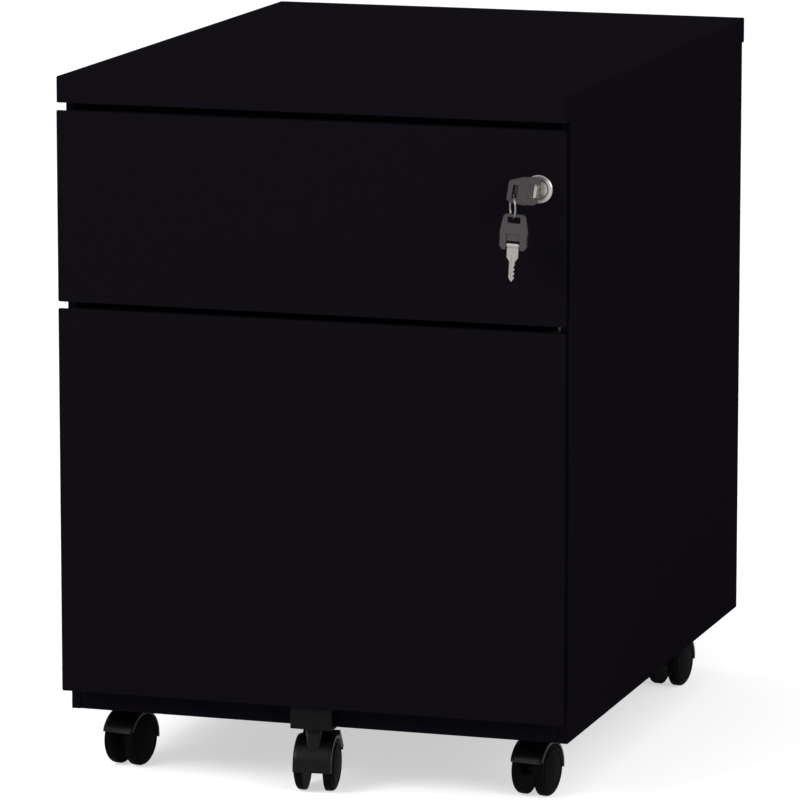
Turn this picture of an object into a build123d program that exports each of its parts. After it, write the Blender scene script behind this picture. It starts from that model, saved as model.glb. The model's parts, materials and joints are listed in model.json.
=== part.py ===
from build123d import *
import os
from math import cos, radians, sin, sqrt

# A steel mobile pedestal: a box drawer over a file drawer in a cabinet of folded sheet, on four swivel
# casters, with a fifth one under the file front that stops the cabinet tipping over.
# Millimetres. +Z is up and the drawer fronts face -Y. The origin lies on the floor under the middle of
# the whole outline, which counts in the keys that hang in front of the lock.

os.makedirs("parts", exist_ok=True)

# Outline of the cabinet
WIDTH = 390.0
DEPTH = 518.0
PLINTH_SHOW = 17.0
FILE_FRONT_HEIGHT = 290.1
FRONT_GAP = 5.0
UPPER_FRONT_HEIGHT = 142.6
LID_GAP = 5.8
LID_HEIGHT = 19.3
SETBACK = 17.0
CARCASS_INSET = 1.5

# Sheet steel and its folds
SHEET = 1.0
BASE_SHEET = 1.5
FRONT_FLANGE = 6.5
BACK_FLANGE = 12.0
TOP_FLANGE = 14.0
PLINTH_HEIGHT = 24.0
LID_HEM = 14.0
LID_CORNER = 1.6
EDGE_ROUND = 0.7
SEAM = 0.02
STRETCHER_HEIGHT = 14.0
STRETCHER_DEPTH = 16.0
UPRIGHT_DEPTH = 8.5
UPRIGHT_WIDTH = 30.0
UPRIGHT_MARGIN = 22.0
UPRIGHT_CLEAR = 4.0

# Drawers
FRONT_THICK = 16.0
LIP_THICK = 2.0
GRIP_WIDTH = 10.0
FRONT_RETURN = 30.0
FRONT_CORNER = 1.2
TRAY_LIFT = 10.0
TRAY_BACK_ROOM = 38.0
LOCK_ROOM = 15.0
FILE_HEADROOM = 30.0
RAIL_WIDTH = 5.0
RAIL_HEIGHT = 13.0
RAIL_GRIP = 6.0
RAIL_END_GAP = 6.0

# Telescopic slides, three members each
SLIDE_THICK = 12.7
SLIDE_HEIGHT = 45.7
SLIDE_SHEET = 1.2
SLIDE_GAP = 0.8
SLIDE_FRONT = 40.0
SLIDE_BACK_ROOM = 28.0
SLIDE_RISE = 45.0

# Screws and nuts
SCREW_RADIUS = 2.0
SCREW_HEAD_RADIUS = 3.5
SCREW_HEAD_HEIGHT = 2.2
SCREW_BITE = 3.0
SCREW_CLEAR = 0.1
SCREW_FROM_EDGE = 11.0
LID_SCREW_MARGIN = 45.0
NUT_RADIUS = 5.8
NUT_HEIGHT = 5.0

# Lock and locking bar
LOCK_INSET = 19.5
LOCK_DROP = 42.4
BEZEL_RADIUS = 10.25
BEZEL_THICK = 3.0
BEZEL_BEVEL = 1.0
BARREL_RADIUS = 8.0
BARREL_LENGTH = 20.0
PLUG_RADIUS = 6.5
PLUG_RECESS = 0.6
RUN_CLEAR = 0.05
LOCK_NUT_FLAT = 9.5
LOCK_NUT_THICK = 2.5
KEYWAY_WIDTH = 2.4
KEYWAY_HEIGHT = 9.0
KEYWAY_DEPTH = 18.0
STUB_SIDE = 6.0
CAM_GAP = 0.8
CAM_THICK = 2.0
CAM_RADIUS = 7.0
CAM_HUB = 6.0
CAM_END = 3.6
CAM_REST = 45.0
CAM_PIN_RADIUS = 2.0
CAM_PIN_REACH = 7.0
BAR_BEHIND_CAM = 1.7
BAR_THICK = 2.0
BAR_WIDTH = 6.0
BAR_WALL_GAP = 1.0
BAR_END_GAP = 2.7
BAR_FOOT = 36.0
YOKE_CLEAR = 0.7
YOKE_WALL = 3.5
FINGER_HEIGHT = 9.0
FINGER_CLEAR = 1.5
GUIDE_WALL = 1.4
GUIDE_CLEAR = 0.4
GUIDE_HEIGHT = 10.0
CATCH_RADIUS = 3.0
CATCH_LENGTH = 11.5
CATCH_BEHIND_BAR = 2.5
CATCH_RISE = 7.0
CATCH_DROP = 27.0

# Folding keys and their ring
KEY_FOLD = 50.9
KEY_TILT = 8.5
HINGE_OUT = 13.0
HEAD_REACH = 22.5
HEAD_TAIL = 3.3
HEAD_HALF = 10.2
HEAD_TOP_HALF = 6.5
HEAD_TAIL_HALF = 8.2
HEAD_BEVEL = 1.5
HEAD_SHOULDER = 10.0
HEAD_THICK = 4.0
HEAD_EDGE = 0.5
SLOT_FROM_TOP = 4.0
SLOT_WIDTH = 10.0
SLOT_HEIGHT = 4.8
SLOT_CORNER = 1.2
ROOT_WIDTH = 8.5
ROOT_LENGTH = 8.6
ROOT_TAPER = 3.2
SHANK_WIDTH = 4.0
BLADE_LENGTH = 26.4
BLADE_TIP = 2.8
BLADE_THICK = 2.0
NOTCH_DEPTH = 1.1
NOTCH_PITCH = 3.2
NOTCH_COUNT = 3
GROOVE_START = 7.0
GROOVE_WIDTH = 1.2
GROOVE_DEPTH = 0.35
KNUCKLE_RADIUS = 1.9
PIN_RADIUS = 1.0
FORK_GAP = 1.0
FORK_DEPTH = 3.3
PANEL_LENGTH = 5.0
PANEL_DEPTH = 0.8
RIB_START = 1.6
RIB_PITCH = 1.9
RIB_DEPTH = 0.8
RIB_COUNT = 4
RING_RADIUS = 8.0
WIRE_RADIUS = 0.65
RING_SEAT = 0.6
RING_SKEW = 20.0
SPARE_LEAN = 3.0
SPARE_SHIFT = 1.5

# Twin-wheel casters: the fifth has a wider hood between its wheels than the four under the base
WHEEL_RADIUS = 20.0
WHEEL_WIDTH = 6.8
WHEEL_ROUND = 3.0
WHEEL_DOME = 1.4
WHEEL_SIDE_GAP = 0.5
BASE_WEB = 11.0
FIFTH_WEB = 14.6
HUB_RADIUS = 6.0
AXLE_RADIUS = 2.5
AXLE_BITE = 5.0
AXLE_END_GAP = 0.3
HOOD_CLEAR = 0.9
HOOD_WALL = 1.5
HOOD_OPEN = 25.0
HOOD_CLOSED = 186.0
TRAIL = 13.0
BOSS_RADIUS = 5.8
BOSS_RISE = 4.5
BOSS_FLOOR = 3.0
COLLAR_RADIUS = 6.2
COLLAR_HEIGHT = 3.0
COLLAR_GAP = 0.3
STEM_RADIUS = 3.5
STEM_GRIP = 11.0
THREAD_RADIUS = 3.0
THREAD_LENGTH = 9.0
CASTER_FROM_SIDE = 33.5
CASTER_FROM_FRONT = 55.0
CASTER_FROM_BACK = 62.5

# Brake lever of the fifth caster, and the bracket that carries it
LEVER_ACROSS = 12.0
LEVER_STAND = 2.1
LEVER_LENGTH = 24.0
LEVER_THICK = 4.0
LEVER_ROOT = 12.0
LEVER_NECK = 4.6
LEVER_WIDTH = 28.0
LEVER_ANGLE = -50.0
LEVER_PRESS = 8.0
LEVER_CLEAR = 0.4
LUG_THICK = 3.0
LUG_RADIUS = 3.0
LUG_GAP = 0.4
TRUNNION_RADIUS = 1.5
BRACKET_WIDTH = 32.0
BRACKET_SHEET = 2.0
BRACKET_BEHIND = 3.5
BRACKET_DEPTH = 12.5
BRACKET_SCREW_SPAN = 20.0

# Heights
HOOD_RADIUS = WHEEL_RADIUS + HOOD_CLEAR + HOOD_WALL
BOSS_TOP = WHEEL_RADIUS + HOOD_RADIUS + BOSS_RISE
UNDERSIDE = BOSS_TOP + COLLAR_GAP + COLLAR_HEIGHT
FILE_BOTTOM = UNDERSIDE + PLINTH_SHOW
FILE_TOP = FILE_BOTTOM + FILE_FRONT_HEIGHT
UPPER_BOTTOM = FILE_TOP + FRONT_GAP
UPPER_TOP = UPPER_BOTTOM + UPPER_FRONT_HEIGHT
LID_BOTTOM = UPPER_TOP + LID_GAP
LID_TOP = LID_BOTTOM + LID_HEIGHT
BASE_TOP = UNDERSIDE + PLINTH_HEIGHT
FRAME_TOP = LID_BOTTOM - SHEET
STRETCHER_BOTTOM = FRAME_TOP - STRETCHER_HEIGHT
LOCK_Z = UPPER_TOP - LOCK_DROP
UPPER_TRAY_BOTTOM = UPPER_BOTTOM + TRAY_LIFT
UPPER_TRAY_TOP = LOCK_Z - LOCK_ROOM
FILE_TRAY_BOTTOM = FILE_BOTTOM + TRAY_LIFT
FILE_TRAY_TOP = FILE_TOP - FILE_HEADROOM

# Half widths, from the outside in
HALF = WIDTH / 2
PANEL_OUT = HALF - CARCASS_INSET
PANEL_IN = PANEL_OUT - SHEET
UPRIGHT_IN = PANEL_IN - UPRIGHT_DEPTH
TRAY_OUT = UPRIGHT_IN - SLIDE_THICK
BODY_HALF = HALF - GRIP_WIDTH
LOCK_X = HALF - LOCK_INSET
CASTER_X = PANEL_OUT - CASTER_FROM_SIDE

# Places from front to back
SLOT_REACH = HEAD_REACH - SLOT_FROM_TOP
RING_TURN = radians(90 - KEY_FOLD + RING_SKEW)
KEY_REACH = HINGE_OUT + SLOT_REACH * sin(radians(KEY_FOLD)) + RING_RADIUS * sin(RING_TURN) + WIRE_RADIUS
FRONT_Y = (KEY_REACH - DEPTH) / 2
CABINET_FRONT = FRONT_Y + SETBACK
CABINET_BACK = FRONT_Y + DEPTH - CARCASS_INSET
BACK_PANEL_Y = CABINET_BACK - 2 * SHEET
FRAME_FRONT = CABINET_FRONT + SHEET
TRAY_FRONT = FRONT_Y + FRONT_THICK
TRAY_BACK = FRONT_Y + DEPTH - TRAY_BACK_ROOM
SLIDE_LENGTH = DEPTH - SLIDE_FRONT - SLIDE_BACK_ROOM
CASTER_FRONT_Y = CABINET_FRONT + CASTER_FROM_FRONT
CASTER_REAR_Y = CABINET_BACK - CASTER_FROM_BACK
STEM_Y = FRONT_Y + BRACKET_BEHIND + (BRACKET_DEPTH + BRACKET_SHEET) / 2
CAM_Y = FRONT_Y + BARREL_LENGTH + CAM_GAP
BAR_Y = CAM_Y + CAM_THICK + BAR_BEHIND_CAM
CATCH_Y = BAR_Y + BAR_THICK + CATCH_BEHIND_BAR + CATCH_RADIUS

RUN_BACK = (Align.CENTER, Align.MIN, Align.MIN)
INWARD = (Align.MAX, Align.MIN)


def facing(y):
    """Plane at y that faces the viewer: a negative amount extrudes away from the viewer."""
    return Plane.XZ.offset(-y)


def save(piece, name):
    piece.part.label = name
    export_step(piece.part, f"parts/{name}.step")


# Screws: two columns in each drawer front, four under the lid, two in the bracket
lid_screws = [
    (side * (PANEL_OUT - TOP_FLANGE / 2), y)
    for side in (-1, 1)
    for y in (CABINET_FRONT + LID_SCREW_MARGIN, CABINET_BACK - LID_SCREW_MARGIN)
]
bracket_screws = [(side * BRACKET_SCREW_SPAN / 2, STEM_Y) for side in (-1, 1)]
caster_places = {
    "front_left": (-CASTER_X, CASTER_FRONT_Y, 170.0),
    "front_right": (CASTER_X, CASTER_FRONT_Y, 172.0),
    "rear_left": (-CASTER_X, CASTER_REAR_Y, 176.0),
    "rear_right": (CASTER_X, CASTER_REAR_Y, 172.0),
}
anti_tilt_place = (0.0, STEM_Y, 6.5)


def front_screws(tray_bottom, tray_top):
    """Places of a front's four screws, as x and z on a plane that faces the viewer."""
    rows = (tray_bottom + SCREW_FROM_EDGE + SHEET, tray_top - SCREW_FROM_EDGE)
    return [(side * (TRAY_OUT - SCREW_FROM_EDGE), z) for side in (-1, 1) for z in rows]


# Lid: a folded tray turned over, whose hem rests on the side panels
with BuildPart() as lid:
    with Locations((0, FRONT_Y, LID_BOTTOM)):
        Box(WIDTH, DEPTH, LID_HEIGHT, align=RUN_BACK)
    fillet(lid.edges().filter_by(Axis.Z), LID_CORNER)
    fillet(lid.faces().sort_by(Axis.Z)[-1].edges(), EDGE_ROUND)
    with Locations((0, FRONT_Y + SHEET, LID_BOTTOM + SHEET)):
        Box(WIDTH - 2 * SHEET, DEPTH - 2 * SHEET, LID_HEIGHT - 2 * SHEET, align=RUN_BACK, mode=Mode.SUBTRACT)
    with Locations((0, FRONT_Y + LID_HEM, LID_BOTTOM)):
        Box(WIDTH - 2 * LID_HEM, DEPTH - 2 * LID_HEM, SHEET, align=RUN_BACK, mode=Mode.SUBTRACT)
    with BuildSketch(Plane.XY.offset(LID_BOTTOM)):
        with Locations(*lid_screws):
            Circle(SCREW_RADIUS + SCREW_CLEAR)
    extrude(amount=SHEET, mode=Mode.SUBTRACT)
save(lid, "lid")

# Side panels: one sheet each, folded inwards along the front, back and top edges
for side in ("left", "right"):
    with BuildPart() as panel:
        with BuildSketch(Plane.XY.offset(UNDERSIDE)):
            with Locations((PANEL_OUT, CABINET_FRONT)):
                Rectangle(SHEET, CABINET_BACK - CABINET_FRONT, align=INWARD)
                Rectangle(FRONT_FLANGE, SHEET, align=INWARD)
            with Locations((PANEL_OUT, CABINET_BACK)):
                Rectangle(BACK_FLANGE, SHEET, align=(Align.MAX, Align.MAX))
        extrude(amount=LID_BOTTOM - UNDERSIDE)
        with Locations((PANEL_OUT, CABINET_FRONT, LID_BOTTOM)):
            Box(TOP_FLANGE, CABINET_BACK - CABINET_FRONT, SHEET, align=(*INWARD, Align.MAX))
        with BuildSketch(Plane.XY.offset(FRAME_TOP)):
            with Locations(*lid_screws):
                Circle(SCREW_RADIUS + SCREW_CLEAR)
        extrude(amount=SHEET, mode=Mode.SUBTRACT)
        if side == "left":
            mirror(about=Plane.YZ, mode=Mode.REPLACE)
    save(panel, f"{side}_side_panel")

# Back panel: a flat sheet in front of the side panels' back flanges
with BuildPart() as back_panel:
    with Locations((0, BACK_PANEL_Y, UNDERSIDE)):
        Box(2 * PANEL_IN, SHEET, FRAME_TOP - UNDERSIDE, align=RUN_BACK)
save(back_panel, "back_panel")

# Base pan: its front wall is the plinth, its floor carries the four casters
with BuildPart() as base_pan:
    with Locations((0, FRAME_FRONT, UNDERSIDE)):
        Box(2 * PANEL_IN, BACK_PANEL_Y - FRAME_FRONT, PLINTH_HEIGHT, align=RUN_BACK)
    with Locations((0, FRAME_FRONT + SHEET, UNDERSIDE + BASE_SHEET)):
        Box(
            2 * (PANEL_IN - SHEET),
            BACK_PANEL_Y - FRAME_FRONT - 2 * SHEET,
            PLINTH_HEIGHT,
            align=RUN_BACK,
            mode=Mode.SUBTRACT,
        )
    with BuildSketch(Plane.XY.offset(UNDERSIDE)):
        with Locations(*[(x, y) for x, y, swivel in caster_places.values()]):
            Circle(THREAD_RADIUS + SCREW_CLEAR)
    extrude(amount=BASE_SHEET, mode=Mode.SUBTRACT)
save(base_pan, "base_pan")

# Top stretcher: a channel behind the gap under the lid
with BuildPart() as top_stretcher:
    with BuildSketch(Plane.YZ):
        with Locations((FRAME_FRONT, FRAME_TOP)):
            Rectangle(STRETCHER_DEPTH, STRETCHER_HEIGHT, align=(Align.MIN, Align.MAX))
        with Locations((FRAME_FRONT + SHEET, FRAME_TOP - SHEET)):
            Rectangle(
                STRETCHER_DEPTH,
                STRETCHER_HEIGHT - 2 * SHEET,
                align=(Align.MIN, Align.MAX),
                mode=Mode.SUBTRACT,
            )
    extrude(amount=PANEL_IN, both=True)
save(top_stretcher, "top_stretcher")

# Slide uprights: two hat-section posts on each side panel
with BuildPart() as slide_uprights:
    with BuildSketch(Plane.XY.offset(BASE_TOP + UPRIGHT_CLEAR)):
        for y in (
            FRONT_Y + SLIDE_FRONT + UPRIGHT_MARGIN,
            FRONT_Y + SLIDE_FRONT + SLIDE_LENGTH - UPRIGHT_MARGIN - UPRIGHT_WIDTH,
        ):
            with Locations((PANEL_IN, y)):
                Rectangle(UPRIGHT_DEPTH, UPRIGHT_WIDTH, align=INWARD)
            with Locations((PANEL_IN, y + SHEET)):
                Rectangle(
                    UPRIGHT_DEPTH - SHEET,
                    UPRIGHT_WIDTH - 2 * SHEET,
                    align=INWARD,
                    mode=Mode.SUBTRACT,
                )
    extrude(amount=STRETCHER_BOTTOM - BASE_TOP - 2 * UPRIGHT_CLEAR)
    mirror(about=Plane.YZ)
save(slide_uprights, "slide_uprights")


# Slides
def slide_member(name, x, reach, height, level, opens_inwards):
    """A pair of channels, one each side; x is the outer face of the channel's web or of its open side."""
    inward = -1 if opens_inwards else 1
    hollow = height - 2 * SLIDE_SHEET
    with BuildPart() as member:
        with BuildSketch(facing(FRONT_Y + SLIDE_FRONT)):
            with Locations((x - reach / 2, level)):
                Rectangle(reach, height)
            with Locations((x - reach / 2 + inward * SLIDE_SHEET, level)):
                Rectangle(reach, hollow, mode=Mode.SUBTRACT)
        extrude(amount=-SLIDE_LENGTH)
        mirror(about=Plane.YZ)
    save(member, name)


def slide_pair(name, level):
    """Outer members on the uprights, middle members between, inner members on the tray."""
    step = SLIDE_SHEET + SLIDE_GAP
    reach = SLIDE_THICK - 2 * step
    slide_member(f"{name}_slide_outers", UPRIGHT_IN, reach + step, SLIDE_HEIGHT, level, True)
    slide_member(f"{name}_slide_middles", UPRIGHT_IN - step, reach, SLIDE_HEIGHT - 2 * step, level, True)
    slide_member(f"{name}_slide_inners", TRAY_OUT + reach, reach, SLIDE_HEIGHT - 4 * step, level, False)


slide_pair("upper", UPPER_TRAY_BOTTOM + SLIDE_RISE)
slide_pair("file", FILE_TRAY_BOTTOM + SLIDE_RISE)


# Drawers
def cut_lock_hole():
    """Hole for the lock barrel, through the face and the return."""
    with BuildSketch(facing(FRONT_Y)) as hole:
        with Locations((LOCK_X, LOCK_Z)):
            Circle(BARREL_RADIUS + SCREW_CLEAR)
    extrude(hole.sketch, amount=-FRONT_THICK, mode=Mode.SUBTRACT)


def cut_bracket_holes():
    """Holes for the bracket's screws, in the bottom fold."""
    with BuildSketch(Plane.XY.offset(FILE_BOTTOM)) as holes:
        with Locations(*bracket_screws):
            Circle(SCREW_RADIUS + SCREW_CLEAR)
    extrude(holes.sketch, amount=SHEET, mode=Mode.SUBTRACT)


def drawer_front(name, bottom, height, screws, cut_holes):
    """Folded pan: a lip all round the face, a narrower body behind it, and a return at the back."""
    middle = (0, bottom + height / 2)
    with BuildPart() as front:
        with BuildSketch(facing(FRONT_Y)):
            with Locations(middle):
                RectangleRounded(WIDTH, height, FRONT_CORNER)
        extrude(amount=-LIP_THICK)
        fillet(front.faces().sort_by(Axis.Y)[0].edges(), EDGE_ROUND)
        with BuildSketch(facing(FRONT_Y + LIP_THICK)):
            with Locations(middle):
                Rectangle(2 * BODY_HALF, height)
        extrude(amount=LIP_THICK - FRONT_THICK)
        with BuildSketch(facing(FRONT_Y + LIP_THICK)):
            with Locations(middle):
                Rectangle(2 * (BODY_HALF - SHEET), height - 2 * SHEET)
        extrude(amount=LIP_THICK + SHEET - FRONT_THICK, mode=Mode.SUBTRACT)
        with BuildSketch(facing(TRAY_FRONT - SHEET)):
            with Locations(middle):
                Rectangle(2 * (BODY_HALF - FRONT_RETURN), height - 2 * FRONT_RETURN)
            with Locations(*screws):
                Circle(SCREW_RADIUS + SCREW_CLEAR)
        extrude(amount=-SHEET, mode=Mode.SUBTRACT)
        cut_holes()
    save(front, name)


def drawer_tray(name, bottom, top, screws):
    """Open-topped tray of five plates, spot-welded along their edges, screwed to the back of its front."""
    length = TRAY_BACK - TRAY_FRONT
    seat = bottom + SHEET + SEAM
    with BuildPart() as tray:
        with Locations((0, TRAY_FRONT, bottom)):
            Box(2 * TRAY_OUT, length, SHEET, align=RUN_BACK)
        for side in (-1, 1):
            with Locations((side * (TRAY_OUT - SHEET / 2), TRAY_FRONT, seat)):
                Box(SHEET, length, top - seat, align=RUN_BACK)
        for y in (TRAY_FRONT, TRAY_BACK - SHEET):
            with Locations((0, y, seat)):
                Box(2 * (TRAY_OUT - SHEET - SEAM), SHEET, top - seat, align=RUN_BACK)
        with BuildSketch(facing(TRAY_FRONT)):
            with Locations(*screws):
                Circle(SCREW_RADIUS + SCREW_CLEAR)
        extrude(amount=-SHEET, mode=Mode.SUBTRACT)
    save(tray, name)


def add_front_screws(screws):
    """Screws from inside the tray, through its wall and the front's return."""
    with BuildSketch(facing(TRAY_FRONT + SHEET)) as heads:
        with Locations(*screws):
            Circle(SCREW_HEAD_RADIUS)
    extrude(heads.sketch, amount=-SCREW_HEAD_HEIGHT)
    with BuildSketch(facing(TRAY_FRONT + SHEET)) as shanks:
        with Locations(*screws):
            Circle(SCREW_RADIUS)
    extrude(shanks.sketch, amount=2 * SHEET + SCREW_BITE)


def catch_pin(name, level):
    """Stud on the right wall of a tray, which the locking bar stops."""
    with BuildPart() as pin:
        with BuildSketch(Plane.YZ.offset(TRAY_OUT)):
            with Locations((CATCH_Y, level)):
                Circle(CATCH_RADIUS)
        extrude(amount=CATCH_LENGTH)
    save(pin, name)


upper_screws = front_screws(UPPER_TRAY_BOTTOM, UPPER_TRAY_TOP)
drawer_front("upper_front", UPPER_BOTTOM, UPPER_FRONT_HEIGHT, upper_screws, cut_lock_hole)
drawer_tray("upper_tray", UPPER_TRAY_BOTTOM, UPPER_TRAY_TOP, upper_screws)
with BuildPart() as upper_front_screws:
    add_front_screws(upper_screws)
save(upper_front_screws, "upper_front_screws")
upper_catch_z = UPPER_TRAY_BOTTOM + CATCH_RISE
catch_pin("upper_catch_pin", upper_catch_z)

file_screws = front_screws(FILE_TRAY_BOTTOM, FILE_TRAY_TOP)
drawer_front("file_front", FILE_BOTTOM, FILE_FRONT_HEIGHT, file_screws, cut_bracket_holes)
drawer_tray("file_tray", FILE_TRAY_BOTTOM, FILE_TRAY_TOP, file_screws)
file_catch_z = FILE_TRAY_TOP - CATCH_DROP
catch_pin("file_catch_pin", file_catch_z)

# Hanging rails: clips over the file tray's side walls that carry the folders' hooks
with BuildPart() as hanging_rails:
    with BuildSketch(facing(TRAY_FRONT + SHEET + RAIL_END_GAP)):
        with Locations((TRAY_OUT - SHEET / 2, FILE_TRAY_TOP - RAIL_GRIP)):
            Rectangle(RAIL_WIDTH, RAIL_HEIGHT, align=(Align.CENTER, Align.MIN))
            Rectangle(SHEET, RAIL_GRIP, align=(Align.CENTER, Align.MIN), mode=Mode.SUBTRACT)
    extrude(amount=TRAY_FRONT - TRAY_BACK + 2 * (SHEET + RAIL_END_GAP))
    mirror(about=Plane.YZ)
save(hanging_rails, "hanging_rails")

# Anti-tilt bracket: a strip folded under the file front, with the fifth caster's stem in its foot
with BuildPart() as anti_tilt_bracket:
    with BuildSketch(Plane.YZ):
        with Locations((FRONT_Y + BRACKET_BEHIND, UNDERSIDE)):
            Rectangle(BRACKET_DEPTH, PLINTH_SHOW, align=(Align.MIN, Align.MIN))
        with Locations((FRONT_Y + BRACKET_BEHIND + BRACKET_SHEET, UNDERSIDE + BRACKET_SHEET)):
            Rectangle(
                BRACKET_DEPTH,
                PLINTH_SHOW - 2 * BRACKET_SHEET,
                align=(Align.MIN, Align.MIN),
                mode=Mode.SUBTRACT,
            )
    extrude(amount=BRACKET_WIDTH / 2, both=True)
    with BuildSketch(Plane.XY.offset(UNDERSIDE)):
        with Locations((0, STEM_Y)):
            Circle(THREAD_RADIUS + SCREW_CLEAR)
    extrude(amount=BRACKET_SHEET, mode=Mode.SUBTRACT)
    with BuildSketch(Plane.XY.offset(FILE_BOTTOM)):
        with Locations(*bracket_screws):
            Circle(SCREW_RADIUS + SCREW_CLEAR)
    extrude(amount=-BRACKET_SHEET, mode=Mode.SUBTRACT)
save(anti_tilt_bracket, "anti_tilt_bracket")


# Fasteners of the cabinet and of the file drawer
def add_nuts(places, seat):
    """Hexagon nuts on caster threads, seated at one height."""
    with BuildSketch(Plane.XY.offset(seat)) as nuts:
        with Locations(*places):
            RegularPolygon(NUT_RADIUS, 6)
            Circle(THREAD_RADIUS, mode=Mode.SUBTRACT)
    extrude(nuts.sketch, amount=NUT_HEIGHT)


def add_upright_screws(places, seat):
    """Screws driven upwards, with their heads under the sheet at the seat's height."""
    with BuildSketch(Plane.XY.offset(seat)) as heads:
        with Locations(*places):
            Circle(SCREW_HEAD_RADIUS)
    extrude(heads.sketch, amount=-SCREW_HEAD_HEIGHT)
    with BuildSketch(Plane.XY.offset(seat)) as shanks:
        with Locations(*places):
            Circle(SCREW_RADIUS)
    extrude(shanks.sketch, amount=SHEET + SCREW_BITE)


with BuildPart() as cabinet_fasteners:
    add_upright_screws(lid_screws, FRAME_TOP)
    add_nuts([(x, y) for x, y, swivel in caster_places.values()], UNDERSIDE + BASE_SHEET)
save(cabinet_fasteners, "cabinet_fasteners")

with BuildPart() as file_drawer_fasteners:
    add_front_screws(file_screws)
    add_upright_screws(bracket_screws, FILE_BOTTOM - BRACKET_SHEET)
    add_nuts([anti_tilt_place[:2]], UNDERSIDE + BRACKET_SHEET)
save(file_drawer_fasteners, "file_drawer_fasteners")

# Lock barrel: bezel in front of the upper front, body through it, bore for the plug with a bevelled mouth
with BuildPart() as lock_barrel:
    with BuildSketch(facing(FRONT_Y)):
        with Locations((LOCK_X, LOCK_Z)):
            Circle(BEZEL_RADIUS)
    extrude(amount=BEZEL_THICK)
    chamfer(lock_barrel.faces().sort_by(Axis.Y)[0].edges(), EDGE_ROUND)
    with BuildSketch(facing(FRONT_Y)):
        with Locations((LOCK_X, LOCK_Z)):
            Circle(BARREL_RADIUS)
    extrude(amount=-BARREL_LENGTH)
    with BuildSketch(facing(FRONT_Y - BEZEL_THICK)):
        with Locations((LOCK_X, LOCK_Z)):
            Circle(PLUG_RADIUS + RUN_CLEAR)
    extrude(amount=-BEZEL_THICK - BARREL_LENGTH, mode=Mode.SUBTRACT)
    mouth = lock_barrel.faces().sort_by(Axis.Y)[0].inner_wires()[0]
    chamfer(mouth.edges(), BEZEL_BEVEL)
save(lock_barrel, "lock_barrel")

# Lock nut: holds the barrel from behind the front's return
with BuildPart() as lock_nut:
    with BuildSketch(facing(TRAY_FRONT)):
        with Locations((LOCK_X, LOCK_Z)):
            RegularPolygon(LOCK_NUT_FLAT, 6, major_radius=False, rotation=30)
            Circle(BARREL_RADIUS, mode=Mode.SUBTRACT)
    extrude(amount=-LOCK_NUT_THICK)
save(lock_nut, "lock_nut")

# Lock plug: turns in the barrel, with the keyway in its face and a square stub for the cam
with BuildPart() as lock_plug:
    with BuildSketch(facing(FRONT_Y - BEZEL_THICK + PLUG_RECESS)):
        with Locations((LOCK_X, LOCK_Z)):
            Circle(PLUG_RADIUS)
    extrude(amount=-BEZEL_THICK + PLUG_RECESS - BARREL_LENGTH - CAM_GAP)
    with BuildSketch(facing(CAM_Y)):
        with Locations((LOCK_X, LOCK_Z)):
            Rectangle(STUB_SIDE, STUB_SIDE)
    extrude(amount=-CAM_THICK)
    with BuildSketch(facing(FRONT_Y - BEZEL_THICK)):
        with Locations((LOCK_X, LOCK_Z)):
            Rectangle(KEYWAY_WIDTH, KEYWAY_HEIGHT, rotation=-KEY_TILT)
    extrude(amount=-KEYWAY_DEPTH, mode=Mode.SUBTRACT)
save(lock_plug, "lock_plug")

# Lock cam: its pin works in the yoke of the locking bar
cam_pin_x = CAM_RADIUS * cos(radians(CAM_REST))
cam_pin_z = CAM_RADIUS * sin(radians(CAM_REST))
with BuildPart() as lock_cam:
    with BuildSketch(facing(CAM_Y)):
        with Locations((LOCK_X, LOCK_Z)):
            Circle(CAM_HUB)
        with Locations((LOCK_X + cam_pin_x / 2, LOCK_Z + cam_pin_z / 2)):
            SlotCenterToCenter(CAM_RADIUS, 2 * CAM_END, rotation=CAM_REST)
        with Locations((LOCK_X, LOCK_Z)):
            Rectangle(STUB_SIDE, STUB_SIDE, mode=Mode.SUBTRACT)
    extrude(amount=-CAM_THICK)
    with BuildSketch(facing(CAM_Y + CAM_THICK)):
        with Locations((LOCK_X + cam_pin_x, LOCK_Z + cam_pin_z)):
            Circle(CAM_PIN_RADIUS)
    extrude(amount=-CAM_PIN_REACH)
save(lock_cam, "lock_cam")

# Locking bar: a flat strip with a yoke for the cam pin and a finger above each catch pin
bar_out = PANEL_IN - BAR_WALL_GAP
bar_in = bar_out - BAR_WIDTH
bar_top = STRETCHER_BOTTOM - BAR_END_GAP
bar_bottom = BASE_TOP + BAR_FOOT
yoke_half = CAM_PIN_RADIUS + YOKE_CLEAR
yoke_left = LOCK_X + cam_pin_x - yoke_half
yoke_right = LOCK_X + CAM_RADIUS + yoke_half
finger_tip = TRAY_OUT + FINGER_CLEAR
with BuildPart() as lock_bar:
    with BuildSketch(facing(BAR_Y)):
        with Locations((bar_out, bar_bottom)):
            Rectangle(BAR_WIDTH, bar_top - bar_bottom, align=INWARD)
        for level in (upper_catch_z, file_catch_z):
            with Locations((bar_out, level + CATCH_RADIUS + FINGER_CLEAR)):
                Rectangle(bar_out - finger_tip, FINGER_HEIGHT, align=INWARD)
        with Locations((bar_out, LOCK_Z + cam_pin_z)):
            Rectangle(
                bar_out - yoke_left + YOKE_WALL,
                2 * (yoke_half + YOKE_WALL),
                align=(Align.MAX, Align.CENTER),
            )
        with Locations((yoke_right, LOCK_Z + cam_pin_z)):
            Rectangle(
                yoke_right - yoke_left,
                2 * yoke_half,
                align=(Align.MAX, Align.CENTER),
                mode=Mode.SUBTRACT,
            )
    extrude(amount=-BAR_THICK)
save(lock_bar, "lock_bar")

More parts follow.
